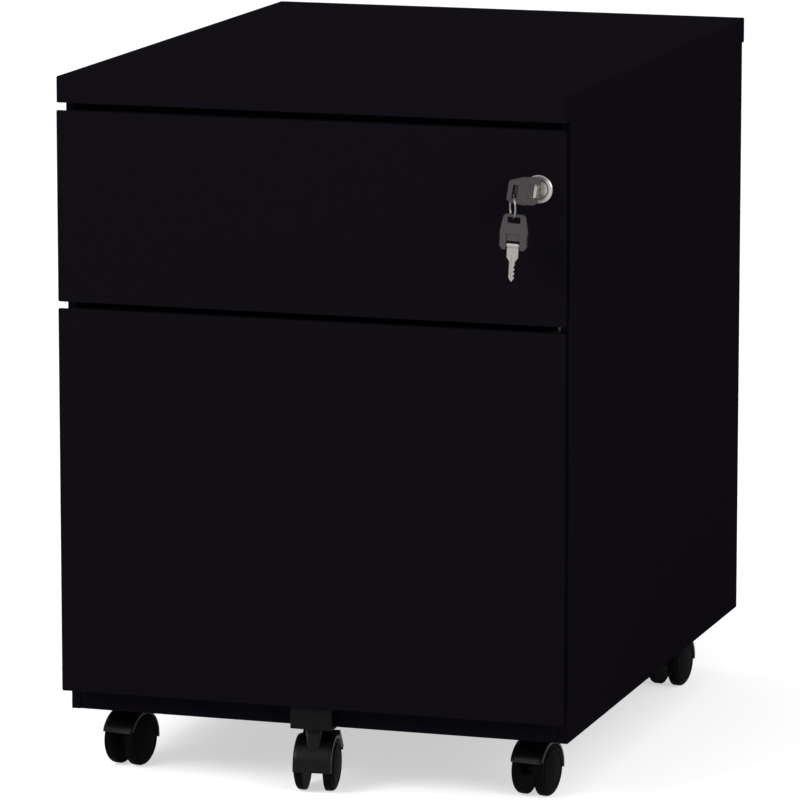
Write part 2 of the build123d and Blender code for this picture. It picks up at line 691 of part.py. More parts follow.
# Guides: blocks on the right side panel in which the bar slides up and down
guide_levels = (bar_bottom + GUIDE_HEIGHT, (FILE_TOP + UPPER_BOTTOM) / 2, bar_top - GUIDE_HEIGHT)
with BuildPart() as lock_bar_guides:
    for level in guide_levels:
        with BuildSketch(Plane.XY.offset(level - GUIDE_HEIGHT / 2)):
            with Locations((PANEL_IN, BAR_Y + BAR_THICK / 2)):
                Rectangle(
                    PANEL_IN - bar_in + GUIDE_CLEAR + GUIDE_WALL,
                    BAR_THICK + 2 * (GUIDE_CLEAR + GUIDE_WALL),
                    align=(Align.MAX, Align.CENTER),
                )
            with Locations(((bar_in + bar_out) / 2, BAR_Y + BAR_THICK / 2)):
                Rectangle(BAR_WIDTH + 2 * GUIDE_CLEAR, BAR_THICK + 2 * GUIDE_CLEAR, mode=Mode.SUBTRACT)
        extrude(amount=GUIDE_HEIGHT)
save(lock_bar_guides, "lock_bar_guides")


# Keys: each is a plastic head hinged on a metal blade. The key plane lies in the middle of the head,
# with its origin on the hinge pin, x towards the slot and y along the pin
def key_blade(plane, name):
    """Flat blade, grooved on both faces, with a knuckle that turns on the hinge pin."""
    root, shank = ROOT_WIDTH / 2, SHANK_WIDTH / 2
    taper_end = ROOT_LENGTH + ROOT_TAPER
    tip_start = BLADE_LENGTH - BLADE_TIP
    pin_way = Plane(plane.origin, x_dir=plane.x_dir, z_dir=plane.y_dir)
    with BuildPart() as blade:
        with BuildSketch(plane):
            Polygon(
                (0, root),
                (-ROOT_LENGTH, root),
                (-taper_end, shank),
                (-tip_start, shank),
                (-BLADE_LENGTH, 0),
                (-tip_start, -shank),
                (-taper_end, -shank),
                (-ROOT_LENGTH, -root),
                (0, -root),
            )
            for notch in range(NOTCH_COUNT):
                along = tip_start - (notch + 0.5) * NOTCH_PITCH
                with Locations((-along, -shank)):
                    Rectangle(
                        NOTCH_DEPTH * sqrt(2), NOTCH_DEPTH * sqrt(2), rotation=45, mode=Mode.SUBTRACT
                    )
        extrude(amount=BLADE_THICK / 2, both=True)
        for face in (-1, 1):
            with BuildSketch(plane.offset(face * BLADE_THICK / 2)):
                with Locations((-GROOVE_START, 0)):
                    Rectangle(tip_start - GROOVE_START, GROOVE_WIDTH, align=(Align.MAX, Align.CENTER))
            extrude(amount=-face * GROOVE_DEPTH, mode=Mode.SUBTRACT)
        with BuildSketch(pin_way):
            Circle(KNUCKLE_RADIUS)
        extrude(amount=root, both=True)
        with BuildSketch(pin_way):
            Circle(PIN_RADIUS + RUN_CLEAR)
        extrude(amount=root, both=True, mode=Mode.SUBTRACT)
    save(blade, name)


def key_head(plane, name):
    """Tapered plastic head: ring slot at one end, fork for the knuckle at the other, notched sides."""
    fork_half = ROOT_WIDTH / 2 + FORK_GAP
    tail = (-HEAD_TAIL, HEAD_TAIL_HALF)
    waist = (0, HEAD_HALF)
    shoulder = (HEAD_SHOULDER, HEAD_HALF)
    corner = (HEAD_REACH - HEAD_BEVEL, HEAD_TOP_HALF + HEAD_BEVEL)
    top = (HEAD_REACH, HEAD_TOP_HALF)
    one_side = [tail, waist, shoulder, corner, top]
    with BuildPart() as head:
        with BuildSketch(plane):
            Polygon(*one_side, *[(x, -y) for x, y in reversed(one_side)])
        extrude(amount=HEAD_THICK / 2, both=True)
        thickness = Axis(plane.origin, plane.z_dir)
        faces = head.faces().sort_by(thickness)
        chamfer(faces[0].edges() + faces[-1].edges(), HEAD_EDGE)
        with BuildSketch(plane):
            with Locations((SLOT_REACH, 0)):
                RectangleRounded(SLOT_HEIGHT, SLOT_WIDTH, SLOT_CORNER)
            with Locations((FORK_DEPTH, 0)):
                Rectangle(FORK_DEPTH + HEAD_TAIL, 2 * fork_half, align=(Align.MAX, Align.CENTER))
            for rib in range(RIB_COUNT):
                along = RIB_START + rib * RIB_PITCH
                with Locations((along, -HEAD_HALF), (along, HEAD_HALF)):
                    Rectangle(RIB_DEPTH * sqrt(2), RIB_DEPTH * sqrt(2), rotation=45)
        extrude(amount=HEAD_THICK, both=True, mode=Mode.SUBTRACT)
        for face in (-1, 1):
            with BuildSketch(plane.offset(face * HEAD_THICK / 2)):
                with Locations((FORK_DEPTH, 0)):
                    Rectangle(PANEL_LENGTH, 2 * fork_half, align=(Align.MIN, Align.CENTER))
            extrude(amount=-face * PANEL_DEPTH, mode=Mode.SUBTRACT)
        with BuildSketch(Plane(plane.origin, x_dir=plane.x_dir, z_dir=plane.y_dir)):
            Circle(PIN_RADIUS)
        extrude(amount=HEAD_TAIL_HALF, both=True, mode=Mode.SUBTRACT)
    save(head, name)


def key_pin(plane, name):
    """Hinge pin, pressed into both sides of the fork."""
    with BuildPart() as pin:
        with BuildSketch(Plane(plane.origin, x_dir=plane.x_dir, z_dir=plane.y_dir)):
            Circle(PIN_RADIUS)
        extrude(amount=HEAD_TAIL_HALF, both=True)
    save(pin, name)


# The key in the lock: the blade stands nearly upright in the keyway, the head is folded to the left
fold = radians(KEY_FOLD)
tilt = radians(KEY_TILT)
hinge = Vector(LOCK_X, FRONT_Y - HINGE_OUT, LOCK_Z)
hinge_way = Vector(sin(tilt), 0, cos(tilt))
left_way = Vector(-cos(tilt), 0, sin(tilt))
out_way = Vector(0, -1, 0)
blade_plane = Plane(hinge, x_dir=out_way, z_dir=left_way)
head_way = left_way * cos(fold) + out_way * sin(fold)
head_plane = Plane(hinge, x_dir=head_way, z_dir=left_way * sin(fold) - out_way * cos(fold))
key_blade(blade_plane, "key_blade")
key_head(head_plane, "key_head")
key_pin(head_plane, "key_pin")

# Key ring: hangs in the head's slot, and the spare key hangs on it, leaning a little
ring_top = hinge + head_way * SLOT_REACH
ring_top += hinge_way * (RING_SEAT + WIRE_RADIUS - SLOT_WIDTH / 2)
ring_way = Vector(cos(RING_TURN), -sin(RING_TURN), 0)
ring_axis = Vector(sin(RING_TURN), cos(RING_TURN), 0)
with BuildPart(Plane(ring_top - Vector(0, 0, RING_RADIUS), x_dir=ring_way, z_dir=ring_axis)) as key_ring:
    Torus(RING_RADIUS, WIRE_RADIUS)
save(key_ring, "key_ring")

ring_bottom = ring_top - Vector(0, 0, 2 * RING_RADIUS)
spare_slot = ring_bottom + Vector(SPARE_SHIFT, 0, RING_SEAT + WIRE_RADIUS - SLOT_HEIGHT / 2)
spare_up = Vector(sin(radians(SPARE_LEAN)), 0, cos(radians(SPARE_LEAN)))
spare_plane = Plane(spare_slot - spare_up * SLOT_REACH, x_dir=spare_up, z_dir=out_way)
key_head(spare_plane, "spare_key_head")
key_blade(spare_plane, "spare_key_blade")
key_pin(spare_plane, "spare_key_pin")


# Casters
def caster_stem(x, y):
    """Swivel pin below a collar, thread above it."""
    with Locations((x, y, BOSS_TOP - STEM_GRIP)):
        Cylinder(STEM_RADIUS, UNDERSIDE - BOSS_TOP + STEM_GRIP, align=(Align.CENTER, Align.CENTER, Align.MIN))
    with Locations((x, y, UNDERSIDE - COLLAR_HEIGHT)):
        Cylinder(COLLAR_RADIUS, COLLAR_HEIGHT, align=(Align.CENTER, Align.CENTER, Align.MIN))
    with Locations((x, y, UNDERSIDE)):
        Cylinder(THREAD_RADIUS, THREAD_LENGTH, align=(Align.CENTER, Align.CENTER, Align.MIN))


def wheel_section(web, margin, inner_face):
    """Half section of a wheel with a domed outer face: x along the axle, y outwards from it."""
    wheel_out = web / 2 + WHEEL_SIDE_GAP + WHEEL_WIDTH + margin
    radius = WHEEL_RADIUS + margin
    round_off = WHEEL_ROUND + margin
    rim = radius - round_off
    dome_radius = (rim**2 + WHEEL_DOME**2) / (2 * WHEEL_DOME)
    with BuildSketch() as half:
        with BuildLine():
            Polyline(
                (wheel_out + WHEEL_DOME, 0),
                (inner_face, 0),
                (inner_face, radius),
                (wheel_out - round_off, radius),
            )
            RadiusArc((wheel_out - round_off, radius), (wheel_out, rim), round_off)
            RadiusArc((wheel_out, rim), (wheel_out + WHEEL_DOME, 0), dome_radius)
        make_face()
    return half.sketch


def caster(name, place, web, braked=False):
    """Hood, axle and two wheels; the swivel angle turns the trail from straight back, seen from above."""
    x, y, swivel = place
    turn = radians(swivel)
    across = Vector(cos(turn), sin(turn), 0)
    trail = Vector(-sin(turn), cos(turn), 0)
    axle_middle = Vector(x, y, WHEEL_RADIUS) + trail * TRAIL
    side_view = Plane(axle_middle, x_dir=trail, z_dir=across)
    axle_line = Axis(axle_middle, across)
    open_way = trail * cos(radians(HOOD_OPEN)) + Vector(0, 0, sin(radians(HOOD_OPEN)))
    section = Plane(axle_middle, x_dir=across, z_dir=across.cross(open_way))
    wheel_in = web / 2 + WHEEL_SIDE_GAP
    hood_half = wheel_in + WHEEL_WIDTH
    far = 2 * HOOD_RADIUS
    below = [
        (0, 0),
        (far * cos(radians(HOOD_OPEN)), far * sin(radians(HOOD_OPEN))),
        (far, -far),
        (-far, -far),
        (far * cos(radians(HOOD_CLOSED)), far * sin(radians(HOOD_CLOSED))),
    ]
    pivot = (LEVER_ACROSS, HOOD_RADIUS + LEVER_STAND)
    lug_out = LEVER_ROOT / 2 + LUG_GAP + LUG_THICK

    with BuildPart() as hood:
        with BuildSketch(side_view):
            Circle(HOOD_RADIUS - HOOD_WALL / 2)
            Polygon(*below, mode=Mode.SUBTRACT)
            Circle(HUB_RADIUS)
        extrude(amount=web / 2, both=True)
        with BuildSketch(Plane.XY.offset(BOSS_TOP)):
            with Locations((x, y)):
                Circle(BOSS_RADIUS)
        extrude(amount=-STEM_GRIP - COLLAR_GAP - BOSS_FLOOR)
        for end in (-1, 1):
            with BuildSketch(side_view.offset(end * web / 2)):
                Circle(WHEEL_RADIUS + HOOD_CLEAR)
            extrude(amount=end * WHEEL_WIDTH, mode=Mode.SUBTRACT)
        with BuildSketch(section):
            add(wheel_section(web, HOOD_CLEAR + HOOD_WALL, 0))
            add(wheel_section(web, HOOD_CLEAR, 0), mode=Mode.SUBTRACT)
            mirror(about=Plane.YZ)
            Rectangle(2 * hood_half, far, align=(Align.CENTER, Align.MIN), mode=Mode.INTERSECT)
            Rectangle(far, WHEEL_RADIUS - WHEEL_ROUND, align=(Align.CENTER, Align.MIN), mode=Mode.SUBTRACT)
        revolve(axis=axle_line, revolution_arc=HOOD_CLOSED - HOOD_OPEN)
        if braked:
            for end in (-1, 1):
                with BuildSketch(side_view.offset(end * lug_out)):
                    with Locations(pivot):
                        Circle(LUG_RADIUS)
                    with Locations((LEVER_ACROSS, HOOD_RADIUS + LEVER_STAND)):
                        Rectangle(
                            2 * LUG_RADIUS,
                            2 * LEVER_STAND + HOOD_WALL,
                            rotation=LEVER_ANGLE,
                            align=(Align.CENTER, Align.MAX),
                        )
                    Circle(HOOD_RADIUS - HOOD_WALL / 2, mode=Mode.SUBTRACT)
                    with Locations(pivot):
                        Circle(TRUNNION_RADIUS + RUN_CLEAR, mode=Mode.SUBTRACT)
                extrude(amount=-end * LUG_THICK)
        with BuildSketch(side_view):
            Circle(AXLE_RADIUS)
        extrude(amount=web, both=True, mode=Mode.SUBTRACT)
        with BuildSketch(Plane.XY.offset(BOSS_TOP)):
            with Locations((x, y)):
                Circle(STEM_RADIUS + RUN_CLEAR)
        extrude(amount=-STEM_GRIP - COLLAR_GAP, mode=Mode.SUBTRACT)
    save(hood, f"{name}_hood")

    with BuildPart() as axle:
        with BuildSketch(side_view):
            Circle(AXLE_RADIUS)
        extrude(amount=wheel_in + AXLE_BITE - AXLE_END_GAP, both=True)
    save(axle, f"{name}_axle")

    for end, side in ((-1, "left"), (1, "right")):
        half_section = Plane(axle_middle, x_dir=across * end, z_dir=Vector(0, 0, 1).cross(across * -end))
        with BuildPart() as wheel:
            with BuildSketch(half_section):
                add(wheel_section(web, 0, wheel_in))
            revolve(axis=axle_line)
            with BuildSketch(side_view.offset(end * wheel_in)):
                Circle(AXLE_RADIUS + RUN_CLEAR)
            extrude(amount=end * AXLE_BITE, mode=Mode.SUBTRACT)
        save(wheel, f"{name}_{side}_wheel")

    if braked:
        with BuildPart() as lever:
            for start, width in ((0, LEVER_ROOT), (LEVER_NECK, LEVER_WIDTH)):
                middle = Vector((start + LEVER_LENGTH) / 2, 0).rotate(Axis.Z, LEVER_ANGLE)
                with BuildSketch(side_view):
                    with Locations((pivot[0] + middle.X, pivot[1] + middle.Y)):
                        Rectangle(LEVER_LENGTH - start, LEVER_THICK, rotation=LEVER_ANGLE)
                extrude(amount=width / 2, both=True)
            hood_when_pressed = Vector(*pivot) - Vector(*pivot).rotate(Axis.Z, LEVER_PRESS)
            with BuildSketch(side_view):
                with Locations((hood_when_pressed.X, hood_when_pressed.Y)):
                    Circle(HOOD_RADIUS + LEVER_CLEAR)
            extrude(amount=LEVER_WIDTH, both=True, mode=Mode.SUBTRACT)
            with BuildSketch(side_view):
                with Locations(pivot):
                    Circle(TRUNNION_RADIUS)
            extrude(amount=lug_out, both=True)
        save(lever, "brake_lever")


for name, place in caster_places.items():
    caster(f"{name}_caster", place, BASE_WEB)
caster("anti_tilt_caster", anti_tilt_place, FIFTH_WEB, braked=True)

with BuildPart() as caster_stems:
    for x, y, swivel in caster_places.values():
        caster_stem(x, y)
save(caster_stems, "caster_stems")

with BuildPart() as anti_tilt_stem:
    caster_stem(*anti_tilt_place[:2])
save(anti_tilt_stem, "anti_tilt_stem")
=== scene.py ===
import json
import math

import bpy
from mathutils import Matrix, Vector


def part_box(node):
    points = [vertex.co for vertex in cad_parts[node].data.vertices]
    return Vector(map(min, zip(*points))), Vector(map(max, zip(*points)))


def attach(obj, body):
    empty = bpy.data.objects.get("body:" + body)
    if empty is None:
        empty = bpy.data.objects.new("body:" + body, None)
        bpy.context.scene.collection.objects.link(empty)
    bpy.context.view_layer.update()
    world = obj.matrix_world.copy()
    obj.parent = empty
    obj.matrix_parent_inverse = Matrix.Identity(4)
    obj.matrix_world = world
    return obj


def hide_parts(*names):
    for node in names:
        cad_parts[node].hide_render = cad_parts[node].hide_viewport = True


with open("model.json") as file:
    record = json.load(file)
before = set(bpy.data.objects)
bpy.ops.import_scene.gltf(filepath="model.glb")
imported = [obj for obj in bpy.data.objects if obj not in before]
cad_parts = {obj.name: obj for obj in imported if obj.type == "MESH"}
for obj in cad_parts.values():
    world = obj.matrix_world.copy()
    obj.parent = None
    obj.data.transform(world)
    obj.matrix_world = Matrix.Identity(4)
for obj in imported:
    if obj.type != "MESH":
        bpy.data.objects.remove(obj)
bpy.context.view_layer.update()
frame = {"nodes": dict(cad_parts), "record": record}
nodes = frame["nodes"]

# Cabinet shell: lid, side panels, back panel, base pan, top stretcher and slide uprights, folded
# from mild steel sheet and spot-welded. The powder coat is baked on, black and dead matt, with a
# fine even orange peel.
noise_low = 0.3
noise_high = 0.7
bump_detail = 2
cloud_scale = 500
gloss_scale = 700
peel_scale = 900
peel_depth = 0.00002
peel_strength = 0.35


def paint(material, *names):
    """Gives CAD nodes one material, in every slot they have."""
    for name in names:
        slots = nodes[name].data.materials
        slots.clear()
        slots.append(material)


def shader_of(finish):
    """The one shader of a finish."""
    return finish.node_tree.nodes["Principled BSDF"]


def new_finish(name, colour, roughness, metallic=0, specular=0.5):
    """A named material, of one colour and roughness until they are varied."""
    finish = bpy.data.materials.new(name)
    finish.use_nodes = True
    shader = shader_of(finish)
    shader.inputs["Base Color"].default_value = (*colour, 1)
    shader.inputs["Roughness"].default_value = roughness
    shader.inputs["Metallic"].default_value = metallic
    shader.inputs["Specular IOR Level"].default_value = specular
    return finish


def grain(finish, scale, detail, stretch=(1, 1, 1)):
    """Noise on object coordinates; a small factor in the stretch draws it out along that axis."""
    tree = finish.node_tree
    place = tree.nodes.new("ShaderNodeTexCoord")
    mapping = tree.nodes.new("ShaderNodeMapping")
    mapping.inputs["Scale"].default_value = stretch
    tree.links.new(place.outputs["Object"], mapping.inputs["Vector"])
    noise = tree.nodes.new("ShaderNodeTexNoise")
    noise.inputs["Scale"].default_value = scale
    noise.inputs["Detail"].default_value = detail
    tree.links.new(mapping.outputs["Vector"], noise.inputs["Vector"])
    return noise.outputs["Fac"]


def vary_colour(finish, dark, light, scale, detail=3, stretch=(1, 1, 1)):
    """Blends the base colour between two tones."""
    tree = finish.node_tree
    blend = tree.nodes.new("ShaderNodeMix")
    blend.data_type = "RGBA"
    blend.inputs["A"].default_value = (*dark, 1)
    blend.inputs["B"].default_value = (*light, 1)
    tree.links.new(grain(finish, scale, detail, stretch), blend.inputs["Factor"])
    tree.links.new(blend.outputs["Result"], shader_of(finish).inputs["Base Color"])


def vary_roughness(finish, low, high, scale, detail=3, stretch=(1, 1, 1)):
    """Spreads the roughness between two values."""
    tree = finish.node_tree
    spread = tree.nodes.new("ShaderNodeMapRange")
    spread.inputs["From Min"].default_value = noise_low
    spread.inputs["From Max"].default_value = noise_high
    spread.inputs["To Min"].default_value = low
    spread.inputs["To Max"].default_value = high
    tree.links.new(grain(finish, scale, detail, stretch), spread.inputs["Value"])
    tree.links.new(spread.outputs["Result"], shader_of(finish).inputs["Roughness"])


def raise_grain(finish, scale, depth, strength):
    """Fine bumps all over, with their depth in metres."""
    tree = finish.node_tree
    bump = tree.nodes.new("ShaderNodeBump")
    bump.inputs["Strength"].default_value = strength
    bump.inputs["Distance"].default_value = depth
    tree.links.new(grain(finish, scale, bump_detail), bump.inputs["Height"])
    tree.links.new(bump.outputs["Normal"], shader_of(finish).inputs["Normal"])


def powder_coat(name, dark, light, specular, low, high):
    """Baked powder: two near blacks in soft clouds, and orange peel, between two roughnesses."""
    coat = new_finish(name, colour=dark, roughness=low, specular=specular)
    vary_colour(coat, dark, light, cloud_scale)
    vary_roughness(coat, low, high, gloss_scale)
    raise_grain(coat, peel_scale, peel_depth, peel_strength)
    return coat


# Its tones are a shade lighter than the drawer fronts': painted light for the side panels and lid,
# where less light falls.
shell_coat = powder_coat(
    "shell_coat",
    dark=(0.0046, 0.0038, 0.0058),
    light=(0.0054, 0.0045, 0.0067),
    specular=0.0002,
    low=0.66,
    high=0.74,
)
paint(
    shell_coat,
    "lid",
    "left_side_panel",
    "right_side_panel",
    "back_panel",
    "base_pan",
    "top_stretcher",
    "slide_uprights",
)

# Drawer fronts: folded pans with a thin lip all round, coated like the shell. Their copy of the
# coat is a shade darker than the shell's: painted shade that evens out the stronger light on the
# fronts. The channel behind the lip at either end is the finger grip.
front_coat_painted_shade = powder_coat(
    "front_coat_painted_shade",
    dark=(0.0044, 0.0037, 0.0055),
    light=(0.0052, 0.0044, 0.0064),
    specular=0.001,
    low=0.66,
    high=0.74,
)
paint(front_coat_painted_shade, "upper_front", "file_front")

# Drawer trays: open boxes of the same sheet, screwed to the back of the fronts. Their coat is
# thinner and smoother.
tray_coat = powder_coat(
    "tray_coat",
    dark=(0.0060, 0.0053, 0.0072),
    light=(0.0074, 0.0066, 0.0088),
    specular=0.06,
    low=0.50,
    high=0.62,
)
paint(tray_coat, "upper_tray", "file_tray")

# Hanging rails: black polypropylene clips that carry the hooks of the folders. They are pushed
# over the file tray's side walls.
rail_plastic = new_finish("rail_plastic", colour=(0.012, 0.012, 0.013), roughness=0.5)
vary_roughness(rail_plastic, low=0.42, high=0.58, scale=200, detail=2)
raise_grain(rail_plastic, scale=1500, depth=0.00002, strength=0.4)
paint(rail_plastic, "hanging_rails")

# Drawer slides: three rolled channels a side, bright zinc on steel, with the mill's fine lines
# along their length. The fasteners, catch pins, wheel axles and hidden parts of the lock have the
# same plating.
zinc_steel = new_finish("zinc_steel", colour=(0.55, 0.56, 0.58), roughness=0.35, metallic=1)
vary_colour(
    zinc_steel,
    dark=(0.50, 0.51, 0.53),
    light=(0.62, 0.63, 0.65),
    scale=40,
    detail=4,
    stretch=(1, 0.08, 1),
)
vary_roughness(zinc_steel, low=0.28, high=0.42, scale=500, detail=2, stretch=(1, 0.02, 1))
paint(
    zinc_steel,
    "upper_slide_outers",
    "upper_slide_middles",
    "upper_slide_inners",
    "file_slide_outers",
    "file_slide_middles",
    "file_slide_inners",
    "cabinet_fasteners",
    "upper_front_screws",
    "file_drawer_fasteners",
    "upper_catch_pin",
    "file_catch_pin",
    "lock_bar",
    "lock_cam",
    "lock_nut",
    *[name for name in nodes if name.endswith("_axle")],
)

# Guides of the locking bar: moulded blocks of natural nylon, each with a slot for the bar. They
# are fixed to the right side panel.
guide_nylon = new_finish("guide_nylon", colour=(0.62, 0.60, 0.54), roughness=0.45)
vary_colour(guide_nylon, dark=(0.58, 0.56, 0.50), light=(0.66, 0.64, 0.58), scale=120, detail=2)
paint(guide_nylon, "lock_bar_guides")

# Lock: a nickel-plated die-cast barrel with a broad bezel, and a plug with the keyway in its face.
# A nut behind the upper front holds the barrel.
lock_nickel = new_finish("lock_nickel", colour=(0.37, 0.36, 0.335), roughness=0.3, metallic=1)
vary_colour(lock_nickel, dark=(0.34, 0.33, 0.305), light=(0.40, 0.39, 0.365), scale=1800)
vary_roughness(lock_nickel, low=0.27, high=0.34, scale=2500)
paint(lock_nickel, "lock_barrel", "lock_plug")

# Keys: milled steel blades with a dull nickel plate, hinged on steel pins in moulded grey heads.
# One stands in the lock with its head folded aside, the other hangs from it.
blade_nickel = new_finish("blade_nickel", colour=(0.29, 0.285, 0.265), roughness=0.34, metallic=1)
vary_colour(
    blade_nickel,
    dark=(0.24, 0.235, 0.215),
    light=(0.34, 0.335, 0.315),
    scale=900,
    stretch=(1, 1, 0.2),
)
vary_roughness(blade_nickel, low=0.30, high=0.40, scale=2500, stretch=(1, 1, 0.1))
paint(blade_nickel, "key_blade", "spare_key_blade", "key_pin", "spare_key_pin")

key_plastic = new_finish(
    "key_plastic", colour=(0.053, 0.047, 0.050), roughness=0.5, specular=0.15
)
vary_colour(key_plastic, dark=(0.047, 0.041, 0.044), light=(0.059, 0.053, 0.056), scale=700)
vary_roughness(key_plastic, low=0.46, high=0.56, scale=1500)
raise_grain(key_plastic, scale=3500, depth=0.00003, strength=0.5)
paint(key_plastic, "key_head", "spare_key_head")

# Split ring: spring wire with a flat oval section, wound in nearly two turns that lie against each
# other. It hangs in the slot of the lock's key, and the spare key hangs in it.
wire_high = 0.0012
wire_thick = 0.0006
wire_points = 16
ring_turns = 1.9
turn_steps = 72
crease = math.radians(40)
world_up = Vector((0, 0, 1))
joints = {joint["name"]: joint for joint in frame["record"]["behaviour"]["joints"]}


def point(joint):
    """Where a joint's axis stands, in the frame."""
    return Vector(joints[joint]["pos_m"])


def way(joint):
    """Which way a joint's axis points."""
    return Vector(joints[joint]["axis"]).normalized()


def wind_oval(name, across, along, points, radius, turns, rise):
    """Sweeps an oval, sized across and along the upright axis, round it in rising turns."""
    bpy.ops.object.select_all(action="DESELECT")
    bpy.ops.mesh.primitive_circle_add(
        vertices=points,
        radius=1,
        fill_type="NOTHING",
        location=(0, 0, 0),
        rotation=(0, math.pi / 2, 0),
    )
    oval = bpy.context.object
    oval.name = name
    bpy.ops.object.transform_apply(location=True, rotation=True, scale=True)
    bpy.ops.object.mode_set(mode="EDIT")
    bpy.ops.mesh.select_all(action="SELECT")
    bpy.ops.transform.resize(value=(1, across / 2, along / 2))
    bpy.ops.transform.translate(value=(0, radius, -rise / 2))
    bpy.ops.object.mode_set(mode="OBJECT")
    winding = oval.modifiers.new("winding", "SCREW")
    winding.axis = "Z"
    winding.angle = 2 * math.pi * turns
    winding.screw_offset = rise
    winding.steps = round(turn_steps * turns)
    winding.render_steps = winding.steps
    bpy.ops.object.modifier_apply(modifier="winding")
    bpy.ops.object.mode_set(mode="EDIT")
    bpy.ops.mesh.select_all(action="SELECT")
    bpy.ops.mesh.fill_holes(sides=points)
    bpy.ops.mesh.select_all(action="SELECT")
    bpy.ops.mesh.normals_make_consistent(inside=False)
    bpy.ops.object.mode_set(mode="OBJECT")
    bpy.ops.object.shade_smooth_by_angle(angle=crease)
    return oval


def settle(piece, right, up, spot):
    """Turns a piece modelled upright to its own right and up, and fixes it on its spot."""
    axes = Matrix((right, up.cross(right), up)).transposed().to_4x4()
    piece.matrix_world = Matrix.Translation(spot) @ axes
    bpy.ops.object.transform_apply(location=True, rotation=True, scale=True)


ring_way = way("ring_swing")
ring_radius = (point("ring_swing") - point("spare_swing")).length / 2
ring_middle = (point("ring_swing") + point("spare_swing")) / 2
split_ring = wind_oval(
    "split_ring",
    across=wire_high,
    along=wire_thick,
    points=wire_points,
    radius=ring_radius,
    turns=ring_turns,
    rise=ring_turns * wire_thick,
)
settle(split_ring, ring_way, ring_way.cross(world_up), ring_middle)
split_ring.data.materials.append(blade_nickel)
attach(split_ring, "key_ring")
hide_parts("key_ring")

# Anti-tilt bracket: a folded steel strip, screwed under the file front. It is coated with the
# rest, in a copy of the coat that is lighter and glossier than the shell's: painted light for its
# lit front face.
bracket_coat_painted_light = powder_coat(
    "bracket_coat_painted_light",
    dark=(0.0060, 0.0055, 0.0064),
    light=(0.0076, 0.0071, 0.0080),
    specular=0.025,
    low=0.50,
    high=0.60,
)
paint(bracket_coat_painted_light, "anti_tilt_bracket")

# Caster stems: turned steel pins with a collar, blackened in hot oxide and oiled. A nut holds each
# one in the base pan or in the bracket's foot.
black_oxide = new_finish(
    "black_oxide", colour=(0.0040, 0.0039, 0.0042), roughness=0.45, specular=0.04
)
vary_colour(
    black_oxide, dark=(0.0035, 0.0034, 0.0037), light=(0.0045, 0.0044, 0.0047), scale=600
)
vary_roughness(black_oxide, low=0.40, high=0.52, scale=1200, stretch=(1, 1, 0.1))
paint(black_oxide, "caster_stems", "anti_tilt_stem")

# Casters: twin wheels of black nylon on a steel axle, under a moulded hood that turns on the stem.
# The wheels are a little duller than the hoods and the brake lever, which came polished from the
# mould. The hoods' colour is a shade darker than the wheels': painted shade for the hood tops that
# lie in shadow under the cabinet.
hood_nylon_painted_shade = new_finish(
    "hood_nylon_painted_shade", colour=(0.0028, 0.0027, 0.0032), roughness=0.34, specular=0.10
)
vary_colour(
    hood_nylon_painted_shade, dark=(0.0025, 0.0024, 0.0028), light=(0.0031, 0.0030, 0.0036), scale=400
)
vary_roughness(hood_nylon_painted_shade, low=0.30, high=0.40, scale=900)
raise_grain(hood_nylon_painted_shade, scale=2500, depth=0.00002, strength=0.2)
wheel_nylon = new_finish(
    "wheel_nylon", colour=(0.0038, 0.0034, 0.0035), roughness=0.42, specular=0.005
)
vary_colour(
    wheel_nylon, dark=(0.0034, 0.0030, 0.0031), light=(0.0042, 0.0038, 0.0039), scale=400
)
vary_roughness(wheel_nylon, low=0.40, high=0.50, scale=900)
raise_grain(wheel_nylon, scale=2500, depth=0.00002, strength=0.3)
paint(hood_nylon_painted_shade, "brake_lever", *[name for name in nodes if name.endswith("_hood")])
paint(wheel_nylon, *[name for name in nodes if name.endswith("_wheel")])

# Hood lips: the thickened edge along the mouth of each base caster's hood, moulded with it in
# nylon. Its corners are rounded.
lip_width = 0.0240
lip_high = 0.0018
lip_inner = 0.0212
lip_outer = 0.0232
lip_middle = (lip_outer + lip_inner) / 2
lip_shoulder = 0.0010
lip_edge = 0.0004
lip_steps = 6
shoulder_steps = 4
edge_steps = 3
mouth_rise = math.radians(25)
weld = 0.000001


def copy_of(pattern, name):
    """A copy with its own mesh, selected alone."""
    bpy.ops.object.select_all(action="DESELECT")
    pattern.select_set(True)
    bpy.context.view_layer.objects.active = pattern
    bpy.ops.object.duplicate()
    piece = bpy.context.object
    piece.name = name
    return piece


bpy.ops.object.select_all(action="DESELECT")
bpy.ops.mesh.primitive_plane_add(size=1, location=(0, 0, 0))
lip_pattern = bpy.context.object
bpy.ops.object.mode_set(mode="EDIT")
bpy.ops.mesh.select_all(action="SELECT")
bpy.ops.transform.resize(value=(lip_width, lip_outer - lip_inner, 1))
bpy.ops.transform.translate(value=(0, lip_middle, 0))
bpy.ops.object.mode_set(mode="OBJECT")
for corner in lip_pattern.data.vertices:
    corner.select = corner.co.y > lip_middle
bpy.ops.object.mode_set(mode="EDIT")
bpy.ops.mesh.select_mode(type="VERT")
bpy.ops.mesh.bevel(offset=lip_shoulder, segments=shoulder_steps, affect="VERTICES")
bpy.ops.mesh.select_all(action="SELECT")
bpy.ops.mesh.spin(
    steps=lip_steps, angle=lip_high / lip_outer, center=(0, 0, 0), axis=(1, 0, 0)
)
bpy.ops.mesh.select_all(action="SELECT")
bpy.ops.mesh.remove_doubles(threshold=weld)
bpy.ops.mesh.normals_make_consistent(inside=False)
bpy.ops.object.mode_set(mode="OBJECT")
rounding = lip_pattern.modifiers.new("rounding", "BEVEL")
rounding.width = lip_edge
rounding.segments = edge_steps
rounding.angle_limit = crease
bpy.ops.object.modifier_apply(modifier="rounding")
bpy.ops.object.shade_smooth_by_angle(angle=crease)
lip_pattern.data.materials.append(hood_nylon_painted_shade)
